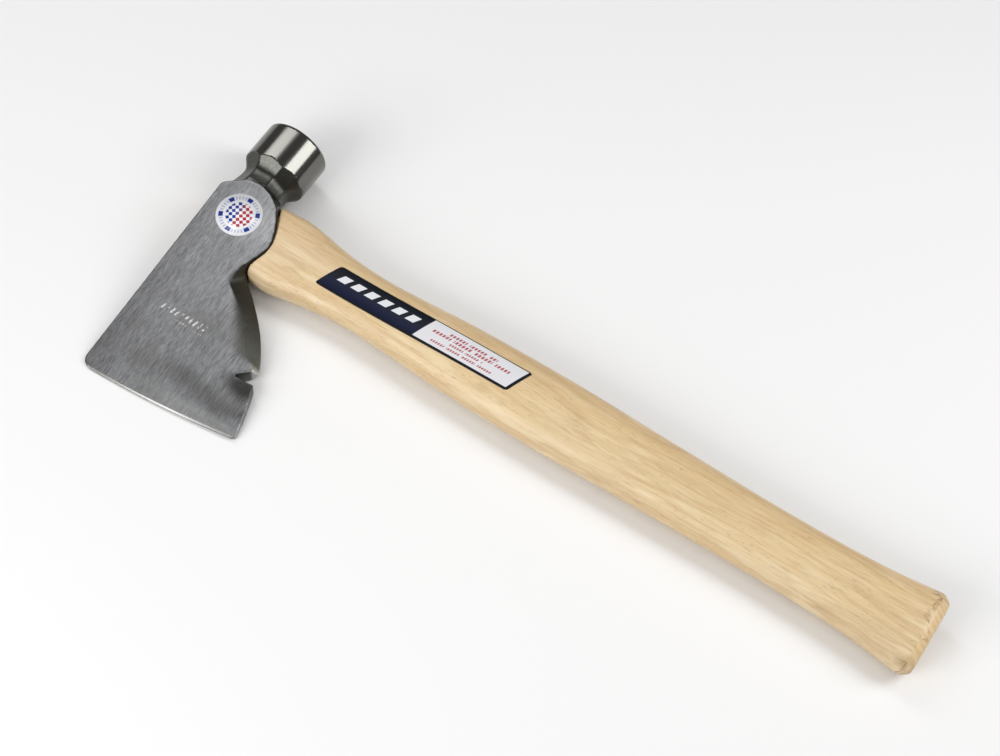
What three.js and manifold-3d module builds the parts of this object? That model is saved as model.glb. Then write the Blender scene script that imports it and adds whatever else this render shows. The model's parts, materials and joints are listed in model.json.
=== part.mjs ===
// Half hatchet: a forged steel head with a striking poll, a nail slot and a broad blade, wedged on a
// straight hickory handle. Millimetres. The tool is drawn in its own axes, +X along the handle from the
// eye to the butt, +Y towards the striking face and +Z across the cheeks, with the zero point where the
// poll's axis crosses the handle's. It is then laid down on its side the way it rests on a bench.

import * as THREE from 'three';
import { mergeVertices } from 'three/addons/utils/BufferGeometryUtils.js';
import Module from 'manifold-3d';

// Fit between neighbouring pieces, and half the depth of a cutter that goes right through one.
const GAP = 0.3;
const CUT_HALF = 40;

// Head: cheeks, blade and rear edge.
const CHEEK_HALF = 12.4;          // half the head's thickness beside the eye
const CHEEK_TAPER = 0.104;        // loss of half thickness for each millimetre towards the blade
const REAR_LAND = 0.25;           // part of the thickness left square along the rear edge
const FRONT_X = -15.8;            // the straight front of the head, square to the handle
const TOE = { x: -9.8, y: -107.7, radius: 6 };
const GRIND_HALF = 0.32;          // half thickness left on the cutting edge
const GRIND_SLOPE = 0.75;         // half thickness gained for each millimetre of sharpened bevel
const GRIND_CUTTER = { reach: 190, below: 1.5, length: 200, before: 50 };

// Head: neck and poll, round an axis along Y.
const POLL_RADIUS = 19.2;
const POLL_BACK_Y = 24;
const FACE_Y = 61.4;
const FACE_RIM = 1.1;             // chamfer round the striking face
const NECK_RINGS = [              // height along the poll, half the width across the flats
  [10, 11.5], [18, 14.0], [21.5, 14.3], [24.5, 13.8], [28, 13.3],
  [31, 13.5], [33.2, 14.9], [36, 17.2], [40, 20.6], [70, 24],
];

// Eye, an oblong hole along the handle that is wider at the front so that the wedges lock the wood.
const EYE_BACK = { x: 32, halfLength: 17.0, halfWidth: 8.7 };
const EYE_FRONT = { x: -18, halfLength: 18.2, halfWidth: 9.9 };
const EYE_POWER = 3;

// Nail slot in the rear edge: mouth corners outside the edge, and the root.
const NAIL_SLOT = [[72.4, -61.8], [55.7, -75.7], [56.0, -76.3], [76.2, -74.9]];

// Handle: distance along it, half width, half thickness.
const HANDLE_STATIONS = [
  [8, 21.4, 11.4], [24, 22.4, 11.4], [36, 23.3, 11.2], [48, 21.9, 10.8], [60, 19.9, 10.5],
  [73, 18.2, 10.4], [91, 17.4, 10.5], [109, 18.1, 11.0], [144, 20.3, 12.1], [204, 21.5, 12.9],
  [264, 20.4, 12.8], [332, 19.4, 12.6], [372, 20.1, 12.9], [396, 21.5, 13.3], [412, 23.2, 13.8],
  [424, 24.9, 14.2],
];
const HANDLE_POWER = 2.25;        // roundness of its oval section, 2 for an ellipse
const SHOULDER_POWER = 3.2;       // squarer where it meets the head
const SHOULDER_END_X = 62;
const BUTT = { x: 429, halfWidth: 21.4, halfThick: 11.2 };
const TONGUE_END_X = -15.4;
const TONGUE_ROOT_X = 38;         // the tongue runs this far back into the body of the handle

// Wedges in the front of the eye.
const WOOD_WEDGE = { depth: 30, topHalf: 1.5, tipHalf: 0.3, halfLength: 16.2 };
const STEEL_WEDGE = { depth: 13, topHalf: 1.1, tipHalf: 0.25, halfLength: 6.2 };
const STEEL_WEDGE_PLACES = [{ y: 8.2, turn: 0.3 }, { y: -8.2, turn: 0.3 }];

// Paper label on the handle and round sticker on the cheek.
const LABEL = { left: 61.6, right: 180.2, low: -8.0, high: 7.4, slant: 4.6, turn: 0.013, thick: 0.3 };
const STICKER = { x: 3.9, y: 1.1, radius: 12.7, thick: 0.3 };

const wasm = await Module();
wasm.setup();

// ---- three.js shapes and solids ----

function toSolid(geometry) {
  const bare = geometry.clone();
  bare.deleteAttribute('normal');
  bare.deleteAttribute('uv');
  const merged = mergeVertices(bare, 1e-4);
  return new wasm.Manifold(new wasm.Mesh({
    numProp: 3,
    vertProperties: new Float32Array(merged.attributes.position.array),
    triVerts: new Uint32Array(merged.index.array),
  }));
}

function toGeometry(solid) {
  const mesh = solid.getMesh();
  const geometry = new THREE.BufferGeometry();
  geometry.setAttribute('position', new THREE.BufferAttribute(mesh.vertProperties, 3));
  geometry.setIndex(new THREE.BufferAttribute(mesh.triVerts, 1));
  geometry.computeVertexNormals();
  return geometry;
}

function signedPower(value, power) {
  return Math.sign(value) * Math.abs(value) ** power;
}

// A rounded bar along X: each section is a superellipse, [x, half length in Y, half width in Z, power].
function bar(sections, sides) {
  const rings = sections.length - 1;
  const geometry = new THREE.CylinderGeometry(1, 1, 1, sides, rings);
  const position = geometry.attributes.position;
  for (let i = 0; i < position.count; i += 1) {
    const [x, halfLength, halfWidth, power] = sections[Math.round((position.getY(i) + 0.5) * rings)];
    const across = signedPower(position.getX(i), 2 / power);
    const through = signedPower(-position.getZ(i), 2 / power);
    position.setXYZ(i, x, -across * halfLength, -through * halfWidth);
  }
  return toSolid(geometry);
}

// An outline in the plane of the cheeks, pushed through the head's thickness.
function slab(points, halfDepth, grow = 0) {
  const shape = new THREE.Shape(points.map(([x, y]) => new THREE.Vector2(x, y)));
  const geometry = new THREE.ExtrudeGeometry(shape, {
    depth: 2 * halfDepth,
    bevelEnabled: grow > 0,
    bevelSize: grow,
    bevelThickness: 0.5,
    bevelSegments: 1,
  });
  geometry.translate(0, 0, -halfDepth);
  return toSolid(geometry);
}

// A wedge that narrows along +X from its head at x = front, its faces square to Y before it is turned.
function wedge({ depth, topHalf, tipHalf, halfLength }, front, grow = 0) {
  const shape = new THREE.Shape([
    new THREE.Vector2(front - grow, -topHalf - grow),
    new THREE.Vector2(front + depth + grow, -tipHalf - grow),
    new THREE.Vector2(front + depth + grow, tipHalf + grow),
    new THREE.Vector2(front - grow, topHalf + grow),
  ]);
  const geometry = new THREE.ExtrudeGeometry(shape, { depth: 2 * (halfLength + grow), bevelEnabled: false });
  geometry.translate(0, 0, -halfLength - grow);
  return geometry;
}

// ---- head ----

function cheekHalf(y) {
  return CHEEK_HALF + CHEEK_TAPER * y;
}

// One stretch of the head's outline, on the cheek's face and in the middle of its thickness.
function stretch(steps, face, middle = face) {
  const sample = (points) => new THREE.SplineCurve(points.map(([x, y]) => new THREE.Vector2(x, y)))
    .getPoints(steps);
  const onFace = sample(face);
  const inMiddle = sample(middle);
  return onFace.map((point, i) => ({ face: point, middle: inMiddle[i] }));
}

function toeCorner() {
  const arc = new THREE.EllipseCurve(TOE.x, TOE.y, TOE.radius, TOE.radius, Math.PI, 1.5 * Math.PI);
  return arc.getPoints(6).map((point) => ({ face: point, middle: point }));
}

function headOutline() {
  const edge = stretch(8, [[-6, -113.6], [32.5, -110.8], [74.9, -105.3]]);
  const heel = stretch(6, [[76.6, -103.6], [72.8, -89.5], [65.6, -69.8]]);
  const rear = stretch(
    12,
    [[62.6, -68.9], [56.6, -64.2], [45.6, -52.3], [36.8, -43.5], [23.6, -35.4]],
    [[65.0, -67.4], [61.0, -59.8], [51.8, -47.3], [39.9, -35.5], [28.6, -26.1]],
  );
  const earStep = stretch(
    3,
    [[22.2, -33.4], [22.3, -29.0], [23.8, -21.9]],
    [[27.4, -25.0], [26.0, -23.3], [24.7, -21.2]],
  );
  const ear = stretch(
    12,
    [[24.7, -19.2], [28.4, -7.0], [25.5, 3.8], [19.6, 14.0]],
    [[24.9, -19.0], [28.5, -7.0], [25.8, 4.2], [19.9, 15.8]],
  );
  const crown = stretch(
    7,
    [[18.0, 15.6], [12.4, 19.7], [4.3, 22.0], [-3.0, 21.4], [-7.9, 18.8]],
    [[18.6, 18.4], [15.4, 23.5], [5.0, 27.0], [-6.0, 27.0], [-14.4, 23.6]],
  );
  const corner = stretch(1, [[-14.9, 12.9], [FRONT_X, 11.4]], [[-16.0, 20.6], [FRONT_X, 18.0]]);
  return [...toeCorner(), ...edge, ...heel, ...rear, ...earStep, ...ear, ...crown, ...corner];
}

// Four rings, cheek to cheek: both faces keep the face outline and the two inner rings the middle one.
function cheeks(outline) {
  const shape = new THREE.Shape(outline.map(({ face }) => face));
  const geometry = new THREE.ExtrudeGeometry(shape, { depth: 3, steps: 3, bevelEnabled: false });
  const position = geometry.attributes.position;
  const here = new THREE.Vector2();
  for (let i = 0; i < position.count; i += 1) {
    here.set(position.getX(i), position.getY(i));
    const pair = outline.reduce((best, each) => (
      each.face.distanceTo(here) < best.face.distanceTo(here) ? each : best));
    const ring = Math.round(position.getZ(i));
    const outer = ring === 0 || ring === 3;
    const side = ring < 2 ? -1 : 1;
    const point = outer ? pair.face : pair.middle;
    const share = outer ? 1 : REAR_LAND;
    position.setXYZ(i, point.x, point.y, side * share * cheekHalf(point.y));
  }
  return toSolid(geometry);
}

// The sharpened bevel: a long V along the cutting edge that the blade is cut to.
function grind() {
  const toe = new THREE.Vector2(TOE.x, TOE.y - TOE.radius);
  const heel = new THREE.Vector2(76.6, -104.4);
  const along = heel.clone().sub(toe).normalize();
  const { reach, below, length, before } = GRIND_CUTTER;
  const half = GRIND_HALF + GRIND_SLOPE * reach;
  const shape = new THREE.Shape([
    new THREE.Vector2(-below, -GRIND_HALF),
    new THREE.Vector2(0, -GRIND_HALF),
    new THREE.Vector2(reach, -half),
    new THREE.Vector2(reach, half),
    new THREE.Vector2(0, GRIND_HALF),
    new THREE.Vector2(-below, GRIND_HALF),
  ]);
  const geometry = new THREE.ExtrudeGeometry(shape, { depth: length, bevelEnabled: false });
  const up = new THREE.Vector3(-along.y, along.x, 0);
  const through = new THREE.Vector3(0, 0, 1);
  const towardsHeel = new THREE.Vector3().crossVectors(up, through);
  const start = new THREE.Vector3(toe.x, toe.y, 0).addScaledVector(towardsHeel, -before);
  geometry.applyMatrix4(new THREE.Matrix4().makeBasis(up, through, towardsHeel).setPosition(start));
  return toSolid(geometry);
}

// The eight-sided neck, cut to the poll's cylinder where it flares out.
function neckAndPoll() {
  const rings = NECK_RINGS.length - 1;
  const neck = new THREE.CylinderGeometry(1, 1, 1, 8, rings, false, Math.PI / 8);
  const position = neck.attributes.position;
  for (let i = 0; i < position.count; i += 1) {
    const [y, halfFlats] = NECK_RINGS[Math.round((position.getY(i) + 0.5) * rings)];
    const reach = halfFlats / Math.cos(Math.PI / 8);
    position.setXYZ(i, position.getX(i) * reach, y, position.getZ(i) * reach);
  }
  const profile = [
    [0, NECK_RINGS[0][0] - 1], [POLL_RADIUS, NECK_RINGS[0][0] - 1],
    [POLL_RADIUS, FACE_Y - FACE_RIM], [POLL_RADIUS - FACE_RIM, FACE_Y], [0, FACE_Y],
  ].map(([radius, y]) => new THREE.Vector2(radius, y));
  return toSolid(neck).intersect(toSolid(new THREE.LatheGeometry(profile, 96)));
}

function eye(grow = 0) {
  const sections = [EYE_FRONT, EYE_BACK].map(({ x, halfLength, halfWidth }) => (
    [x, halfLength + grow, halfWidth + grow, EYE_POWER]));
  return bar(sections, 48);
}

function makeHead(outline) {
  return cheeks(outline)
    .intersect(grind())
    .add(neckAndPoll())
    .subtract(eye())
    .subtract(slab(NAIL_SLOT, CUT_HALF));
}

// ---- handle and wedges ----

function handleBody(grow = 0) {
  const path = new THREE.CatmullRomCurve3(HANDLE_STATIONS.map((station) => new THREE.Vector3(...station)));
  const sections = path.getPoints(60).map(({ x, y, z }) => {
    const squareness = 1 - THREE.MathUtils.smoothstep(x, HANDLE_STATIONS[1][0], SHOULDER_END_X);
    return [x, y + grow, z + grow, THREE.MathUtils.lerp(HANDLE_POWER, SHOULDER_POWER, squareness)];
  });
  sections.push([BUTT.x + grow, BUTT.halfWidth + grow, BUTT.halfThick + grow, HANDLE_POWER]);
  return bar(sections, 56);
}

// The wood that fills the eye, clear of its walls.
function tongue() {
  const stretchOfEye = [
    [TONGUE_END_X, -CUT_HALF], [TONGUE_ROOT_X, -CUT_HALF],
    [TONGUE_ROOT_X, CUT_HALF], [TONGUE_END_X, CUT_HALF],
  ];
  return eye(-GAP).intersect(slab(stretchOfEye, CUT_HALF));
}

function woodWedge(grow = 0) {
  const geometry = wedge(WOOD_WEDGE, TONGUE_END_X, grow);
  geometry.rotateX(Math.PI / 2);
  return toSolid(geometry);
}

function steelWedge({ y, turn }, grow = 0) {
  const geometry = wedge(STEEL_WEDGE, TONGUE_END_X, grow);
  geometry.rotateX(turn);
  geometry.translate(0, y, 0);
  return toSolid(geometry);
}

function makeHandle(outline) {
  const shoulder = slab(outline.map(({ middle }) => [middle.x, middle.y]), CUT_HALF, GAP);
  let wood = handleBody().subtract(shoulder).add(tongue());
  wood = wood.subtract(woodWedge(GAP));
  for (const place of STEEL_WEDGE_PLACES) {
    wood = wood.subtract(steelWedge(place, GAP));
  }
  return wood;
}

function makeWoodWedge() {
  let wood = woodWedge();
  for (const place of STEEL_WEDGE_PLACES) {
    wood = wood.subtract(steelWedge(place, GAP));
  }
  return wood;
}

// ---- label and sticker ----

function makeLabel() {
  const { left, right, low, high, slant, turn } = LABEL;
  const corners = [[left, low], [right, low], [right + slant, high], [left + slant, high]];
  const middleX = (left + right) / 2;
  const turned = corners.map(([x, y]) => [x, y + turn * (x - middleX)]);
  const shape = new THREE.Shape(turned.map(([x, y]) => new THREE.Vector2(x, y)));
  const window = toSolid(new THREE.ExtrudeGeometry(shape, { depth: CUT_HALF, bevelEnabled: false }));
  return handleBody(GAP + LABEL.thick).intersect(window).subtract(handleBody(GAP));
}

function makeSticker() {
  const geometry = new THREE.CylinderGeometry(STICKER.radius, STICKER.radius, STICKER.thick, 64);
  geometry.rotateX(Math.PI / 2);
  geometry.translate(0, 0, GAP + STICKER.thick / 2);
  geometry.rotateX(Math.atan(CHEEK_TAPER));
  geometry.translate(STICKER.x, STICKER.y, cheekHalf(STICKER.y));
  return toSolid(geometry);
}

// ---- assembly ----

const FINISHES = {
  head: { color: 0x85868a, roughness: 0.42, metalness: 1.0 },
  handle: { color: 0xdfbf8b, roughness: 0.45, metalness: 0.0 },
  wood_wedge: { color: 0xc79c63, roughness: 0.6, metalness: 0.0 },
  steel_wedge: { color: 0x77787a, roughness: 0.5, metalness: 1.0 },
  label: { color: 0x1c2238, roughness: 0.35, metalness: 0.0 },
  sticker: { color: 0xf2f3f6, roughness: 0.35, metalness: 0.0 },
};

function piece(name, solid, finish) {
  const mesh = new THREE.Mesh(toGeometry(solid), new THREE.MeshStandardMaterial(FINISHES[finish]));
  mesh.name = name;
  return mesh;
}

// The lowest vertex of a piece along a direction, among those that a test keeps.
function lowest(mesh, up, keep) {
  const position = mesh.geometry.attributes.position;
  const point = new THREE.Vector3();
  let best = null;
  for (let i = 0; i < position.count; i += 1) {
    point.fromBufferAttribute(position, i);
    if (keep(point) && (best === null || point.dot(up) < best.dot(up))) {
      best = point.clone();
    }
  }
  return best;
}

// Lying on its side, the tool touches the bench with the poll's rim, the cutting edge and the butt.
function restingUp(head, handle) {
  const up = new THREE.Vector3(0, 0, 1);
  for (let round = 0; round < 6; round += 1) {
    const poll = lowest(head, up, (p) => p.y > POLL_BACK_Y);
    const blade = lowest(head, up, (p) => p.y < TOE.y);
    const butt = lowest(handle, up, (p) => p.x > HANDLE_STATIONS.at(-3)[0]);
    up.crossVectors(butt.sub(poll), blade.sub(poll)).normalize();
    if (up.z < 0) {
      up.negate();
    }
  }
  return up;
}

function layDown(tool, head, handle) {
  const up = restingUp(head, handle);
  const across = new THREE.Vector3().crossVectors(up, new THREE.Vector3(1, 0, 0)).normalize();
  const along = new THREE.Vector3().crossVectors(across, up);
  const turn = new THREE.Matrix4().makeBasis(along, across, up).transpose();
  tool.quaternion.setFromRotationMatrix(turn);
  tool.updateMatrixWorld(true);
  const box = new THREE.Box3().setFromObject(tool, true);
  const middle = box.getCenter(new THREE.Vector3());
  tool.position.set(-middle.x, -middle.y, -box.min.z);
}

const outline = headOutline();
const head = piece('head', makeHead(outline), 'head');
const handle = piece('handle', makeHandle(outline), 'handle');
const tool = new THREE.Group();
tool.add(
  head,
  handle,
  piece('wood_wedge', makeWoodWedge(), 'wood_wedge'),
  ...STEEL_WEDGE_PLACES.map((place, i) => piece(`steel_wedge_${i + 1}`, steelWedge(place), 'steel_wedge')),
  piece('handle_label', makeLabel(), 'label'),
  piece('head_sticker', makeSticker(), 'sticker'),
);
layDown(tool, head, handle);

const hatchet = new THREE.Group();
hatchet.add(tool);
export default hatchet;
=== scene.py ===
# Half hatchet on a pale bench, lying on its side: a forged head with a polished poll and a nail slot, and a
# lacquered hickory handle that is wedged into its eye. Metres, in the part's own frame.
import json
import math

import bmesh
import bpy
from mathutils import Matrix, Vector
from mathutils.bvhtree import BVHTree


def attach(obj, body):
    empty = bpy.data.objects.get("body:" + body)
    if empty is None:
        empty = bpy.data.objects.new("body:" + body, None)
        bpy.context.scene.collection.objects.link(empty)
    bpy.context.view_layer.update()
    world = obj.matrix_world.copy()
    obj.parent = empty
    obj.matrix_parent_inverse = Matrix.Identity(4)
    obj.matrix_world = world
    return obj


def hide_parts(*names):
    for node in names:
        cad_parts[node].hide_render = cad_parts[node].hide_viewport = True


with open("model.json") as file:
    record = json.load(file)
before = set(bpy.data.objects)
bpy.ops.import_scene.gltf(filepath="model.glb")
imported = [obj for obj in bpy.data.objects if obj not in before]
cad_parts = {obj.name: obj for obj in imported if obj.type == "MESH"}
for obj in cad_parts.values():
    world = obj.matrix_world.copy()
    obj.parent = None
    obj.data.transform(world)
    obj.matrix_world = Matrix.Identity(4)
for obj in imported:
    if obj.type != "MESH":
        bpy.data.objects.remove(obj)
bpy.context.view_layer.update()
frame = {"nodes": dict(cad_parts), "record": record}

# ---- Head -------------------------------------------------------------------------------------------
# One steel drop forging. The cheeks and the blade are ground and left brushed, the rear bevel and the
# eight-sided neck keep their dark forged skin, and the poll is turned and polished.

MM = 0.001
HANDLE_REACH = 429 * MM            # the butt's flat end from the crossing of the poll's and handle's axes
HEAD_VOXEL = 0.6 * MM
CHEEK_HALF = 12.4 * MM             # half thickness at the eye, which grows by the taper towards the poll
CHEEK_TAPER = 0.104

POLL_RADIUS = 19.16 * MM
POLL_SLACK = 0.4 * MM              # skin that is closer than this to the turned cylinder belongs to it
POLL_TURNED_Y = 36 * MM            # the turned cylinder starts here, between the neck's flats
POLL_FACE_Y = 61.4 * MM
POLL_RIM = 1.1 * MM
NECK_ROOT_Y = 16 * MM              # forged skin starts here, where the cheeks end
NECK_END_Y = POLL_FACE_Y - 15 * MM
NECK_DEPTH = 0.35 * MM             # how far the neck lies below the planes of the cheeks
CORNER_Y = (POLL_TURNED_Y - 4 * MM, POLL_TURNED_Y + 5 * MM)
CORNER_REACH = 0.78 * POLL_RADIUS
FORGED_ROUNDS = 9                  # rounds of smoothing, for a forged flat, a corner and the bevel's crease
CORNER_ROUNDS = 28
REAR_ROUNDS = 8

REAR_LINE = (45.4 * MM, -52.2 * MM)    # a point where the flat cheek turns into the rear bevel
REAR_TURN = (0.69, 0.724)              # the way from the cheek out over the bevel
REAR_Y = (-73 * MM, -22 * MM)
REAR_FRONT_X = 20 * MM
REAR_INNER = -9 * MM
REAR_CORE = 1.6 * MM

TOE_X = -6 * MM                    # the cutting edge, between the ends of its two rounded corners
HEEL_X = 74.9 * MM
EDGE_MIDDLE_X = (TOE_X + HEEL_X) / 2
EDGE_MIDDLE_Y = -109.38 * MM
EDGE_RISE = 0.1026                 # how much the heel stands nearer to the handle
EDGE_BOW = 1.35 * MM
EDGE_CUT = 2.4 * MM                # the blade is cut here, above its edge, and drawn out again
EDGE_HALF = 0.30 * MM              # half thickness on the edge
BEVEL_HIGH = 0.9 * MM              # height of the sharpened bevel
BEVEL_ENDS = (-12.3 * MM, 76.5 * MM)
EDGE_ENDS = (-9.8 * MM, 75.0 * MM)

mounts = {mount["name"]: mount for mount in frame["record"]["mounts"]}
tool_x = Vector(mounts["butt_end"]["axis"]).normalized()
tool_z = tool_x.cross(Vector(mounts["striking_face"]["axis"])).normalized()
tool_y = tool_z.cross(tool_x)
tool_zero = Vector(mounts["butt_end"]["pos_m"]) - HANDLE_REACH * tool_x
TOOL = Matrix.Translation(tool_zero) @ Matrix((tool_x, tool_y, tool_z)).transposed().to_4x4()
TOOL_TURN = TOOL.to_euler("XYZ")


def merged_copy(node_name):
    """A CAD node's solid as one closed bmesh, in the tool's own axes."""
    bm = bmesh.new()
    bm.from_mesh(frame["nodes"][node_name].data)
    bmesh.ops.transform(bm, matrix=TOOL.inverted(), verts=bm.verts)
    bmesh.ops.remove_doubles(bm, verts=bm.verts, dist=0.004 * MM)
    return bm


def add_piece(name, bm, nodes, material, smooth=True):
    """Puts a bmesh in tool axes into the scene as a finished piece that stands for CAD nodes."""
    bmesh.ops.transform(bm, matrix=TOOL, verts=bm.verts)
    mesh = bpy.data.meshes.new(name)
    bm.to_mesh(mesh)
    bm.free()
    for polygon in mesh.polygons:
        polygon.use_smooth = smooth
    mesh.materials.append(material)
    piece = bpy.data.objects.new(name, mesh)
    bpy.context.scene.collection.objects.link(piece)
    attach(piece, "root")
    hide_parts(*nodes)


def remeshed(bm, voxel):
    """The same closed solid with an even skin, its edges eased by about one voxel."""
    mesh = bpy.data.meshes.new("rough")
    bm.to_mesh(mesh)
    bm.free()
    rough = bpy.data.objects.new("rough", mesh)
    bpy.context.scene.collection.objects.link(rough)
    skin = rough.modifiers.new("skin", "REMESH")
    skin.mode = "VOXEL"
    skin.voxel_size = voxel
    evaluated = rough.evaluated_get(bpy.context.evaluated_depsgraph_get())
    even = bmesh.new()
    even.from_mesh(evaluated.to_mesh())
    bpy.data.objects.remove(rough)
    bpy.data.meshes.remove(mesh)
    return even


def soften(bm, verts, rounds):
    for _ in range(rounds):
        bmesh.ops.smooth_vert(
            bm, verts=verts, factor=0.5, use_axis_x=True, use_axis_y=True, use_axis_z=True)


def cheek_height(y):
    """Half the head's thickness between its flat cheeks, which taper towards the edge."""
    return CHEEK_HALF + CHEEK_TAPER * y


def rear_depth(x, y):
    """How far a point lies beyond the line where the flat cheek turns into the rear bevel."""
    return REAR_TURN[0] * (x - REAR_LINE[0]) + REAR_TURN[1] * (y - REAR_LINE[1])


def cutting_edge_y(x):
    """The blade's slightly bowed edge, which is a parabola between toe and heel."""
    bow = 1 - ((x - EDGE_MIDDLE_X) / (HEEL_X - EDGE_MIDDLE_X)) ** 2
    return EDGE_MIDDLE_Y + (x - EDGE_MIDDLE_X) * EDGE_RISE - EDGE_BOW * bow


def sharpen(bm):
    """Cuts the blade off a little above its edge and draws the ground bevel again with clean creases."""
    cut = bmesh.ops.bisect_plane(
        bm, geom=bm.verts[:] + bm.edges[:] + bm.faces[:], dist=0.001 * MM,
        plane_co=(EDGE_MIDDLE_X, EDGE_MIDDLE_Y + EDGE_CUT, 0), plane_no=(EDGE_RISE, -1, 0),
        clear_outer=True)
    rim = [e for e in cut["geom_cut"] if isinstance(e, bmesh.types.BMEdge)]
    along = [v.co.x for e in rim for v in e.verts]
    first, last = min(along), max(along)
    for (low_x, high_x), on_bevel in ((BEVEL_ENDS, True), (EDGE_ENDS, False)):
        drawn = bmesh.ops.extrude_edge_only(bm, edges=rim)["geom"]
        rim = [e for e in drawn if isinstance(e, bmesh.types.BMEdge)]
        for v in [v for v in drawn if isinstance(v, bmesh.types.BMVert)]:
            old_half = cheek_height(v.co.y)
            v.co.x = low_x + (v.co.x - first) / (last - first) * (high_x - low_x)
            v.co.y = cutting_edge_y(v.co.x) + (BEVEL_HIGH if on_bevel else 0)
            v.co.z *= (cheek_height(v.co.y) if on_bevel else EDGE_HALF) / old_half
        first, last = low_x, high_x
        for e in rim:
            e.smooth = False
    land = bmesh.ops.holes_fill(bm, edges=rim, sides=0)["faces"]
    bmesh.ops.triangulate(bm, faces=land)
    bmesh.ops.recalc_face_normals(bm, faces=bm.faces)


def head_shape():
    bm = remeshed(merged_copy("head"), HEAD_VOXEL)
    soften(bm, bm.verts[:], 1)
    neck = [v for v in bm.verts if NECK_ROOT_Y < v.co.y < NECK_END_Y
            and abs(v.co.z) < cheek_height(v.co.y) - NECK_DEPTH]
    forged = [v for v in neck if math.hypot(v.co.x, v.co.z) < POLL_RADIUS - POLL_SLACK]
    turned = [v for v in bm.verts if POLL_TURNED_Y < v.co.y < POLL_FACE_Y - POLL_RIM - POLL_SLACK
              and math.hypot(v.co.x, v.co.z) > POLL_RADIUS - POLL_SLACK]
    soften(bm, forged, FORGED_ROUNDS)
    for v in turned:
        reach = math.hypot(v.co.x, v.co.z)
        v.co.x *= POLL_RADIUS / reach
        v.co.z *= POLL_RADIUS / reach
    corners = [v for v in neck if CORNER_Y[0] < v.co.y < CORNER_Y[1] and abs(v.co.x) > CORNER_REACH]
    soften(bm, corners, CORNER_ROUNDS)
    rear = [v for v in bm.verts if REAR_Y[0] < v.co.y < REAR_Y[1] and v.co.x > REAR_FRONT_X
            and rear_depth(v.co.x, v.co.y) > REAR_INNER and abs(v.co.z) > REAR_CORE]
    soften(bm, rear, REAR_ROUNDS)
    sharpen(bm)
    return bm


def new_material(name):
    material = bpy.data.materials.new(name)
    material.use_nodes = True
    tree = material.node_tree
    return material, tree, tree.nodes["Principled BSDF"]


def node(tree, kind, **settings):
    made = tree.nodes.new(kind)
    for key, value in settings.items():
        setattr(made, key, value)
    return made


def feed(tree, value, socket):
    """Links another node's output to a socket, or sets the socket to a number, a vector or a colour."""
    if isinstance(value, bpy.types.NodeSocket):
        tree.links.new(value, socket)
    elif socket.type == "RGBA":
        socket.default_value = (*value, 1)
    else:
        socket.default_value = value


def math_node(tree, operation, a, b=0.0):
    made = node(tree, "ShaderNodeMath", operation=operation)
    feed(tree, a, made.inputs[0])
    feed(tree, b, made.inputs[1])
    return made.outputs[0]


def plus(tree, a, b):
    return math_node(tree, "ADD", a, b)


def minus(tree, a, b):
    return math_node(tree, "SUBTRACT", a, b)


def times(tree, *values):
    result = values[0]
    for value in values[1:]:
        result = math_node(tree, "MULTIPLY", result, value)
    return result


def inverse(tree, value):
    return minus(tree, 1.0, value)


def ramp(tree, value, low, high, smooth=True):
    """0 at low and 1 at high, whichever of the two is the greater, and level beyond them."""
    curve = "SMOOTHSTEP" if smooth else "LINEAR"
    made = node(tree, "ShaderNodeMapRange", clamp=True, interpolation_type=curve)
    feed(tree, value, made.inputs["Value"])
    feed(tree, low, made.inputs["From Min"])
    feed(tree, high, made.inputs["From Max"])
    return made.outputs["Result"]


def mix_colour(tree, factor, a, b, blend="MIX"):
    made = node(tree, "ShaderNodeMix", data_type="RGBA", blend_type=blend, clamp_factor=True)
    for key, value in ((0, factor), (6, a), (7, b)):
        feed(tree, value, made.inputs[key])
    return made.outputs[2]


def mix_value(tree, factor, a, b):
    made = node(tree, "ShaderNodeMix", data_type="FLOAT", clamp_factor=True)
    for key, value in ((0, factor), (2, a), (3, b)):
        feed(tree, value, made.inputs[key])
    return made.outputs[0]


def grey(tree, value):
    made = node(tree, "ShaderNodeCombineColor")
    for channel in made.inputs[:3]:
        feed(tree, value, channel)
    return made.outputs["Color"]


def split(tree, vector):
    made = node(tree, "ShaderNodeSeparateXYZ")
    feed(tree, vector, made.inputs[0])
    return made.outputs


def bump(tree, height, strength, distance):
    made = node(tree, "ShaderNodeBump")
    feed(tree, strength, made.inputs["Strength"])
    feed(tree, distance, made.inputs["Distance"])
    feed(tree, height, made.inputs["Height"])
    return made.outputs["Normal"]


def tool_space(tree, unit=1.0):
    """Object coordinates turned into the tool's own axes, as many to the metre as unit says."""
    where = node(tree, "ShaderNodeTexCoord")
    turned = node(tree, "ShaderNodeMapping", vector_type="TEXTURE")
    feed(tree, where.outputs["Object"], turned.inputs["Vector"])
    feed(tree, tool_zero, turned.inputs["Location"])
    feed(tree, TOOL_TURN, turned.inputs["Rotation"])
    scaled = node(tree, "ShaderNodeVectorMath", operation="SCALE")
    feed(tree, turned.outputs["Vector"], scaled.inputs[0])
    feed(tree, unit, scaled.inputs["Scale"])
    return scaled.outputs[0]


def effect(name, sockets, result):
    """An empty node group with named inputs, what it is given, and the socket for its result."""
    tree = bpy.data.node_groups.new(name, "ShaderNodeTree")
    for socket in sockets:
        kind = "NodeSocketVector" if socket in ("Place", "Stretch") else "NodeSocketFloat"
        tree.interface.new_socket(name=socket, in_out="INPUT", socket_type=kind)
    tree.interface.new_socket(name=result, in_out="OUTPUT", socket_type="NodeSocketFloat")
    return tree, node(tree, "NodeGroupInput").outputs, node(tree, "NodeGroupOutput").inputs[result]


def placed(tree, group, **values):
    """Puts a node group into a material with that material's own values."""
    made = node(tree, "ShaderNodeGroup")
    made.node_tree = group
    for key, value in values.items():
        feed(tree, value, made.inputs[key])
    return made.outputs[0]


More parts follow.
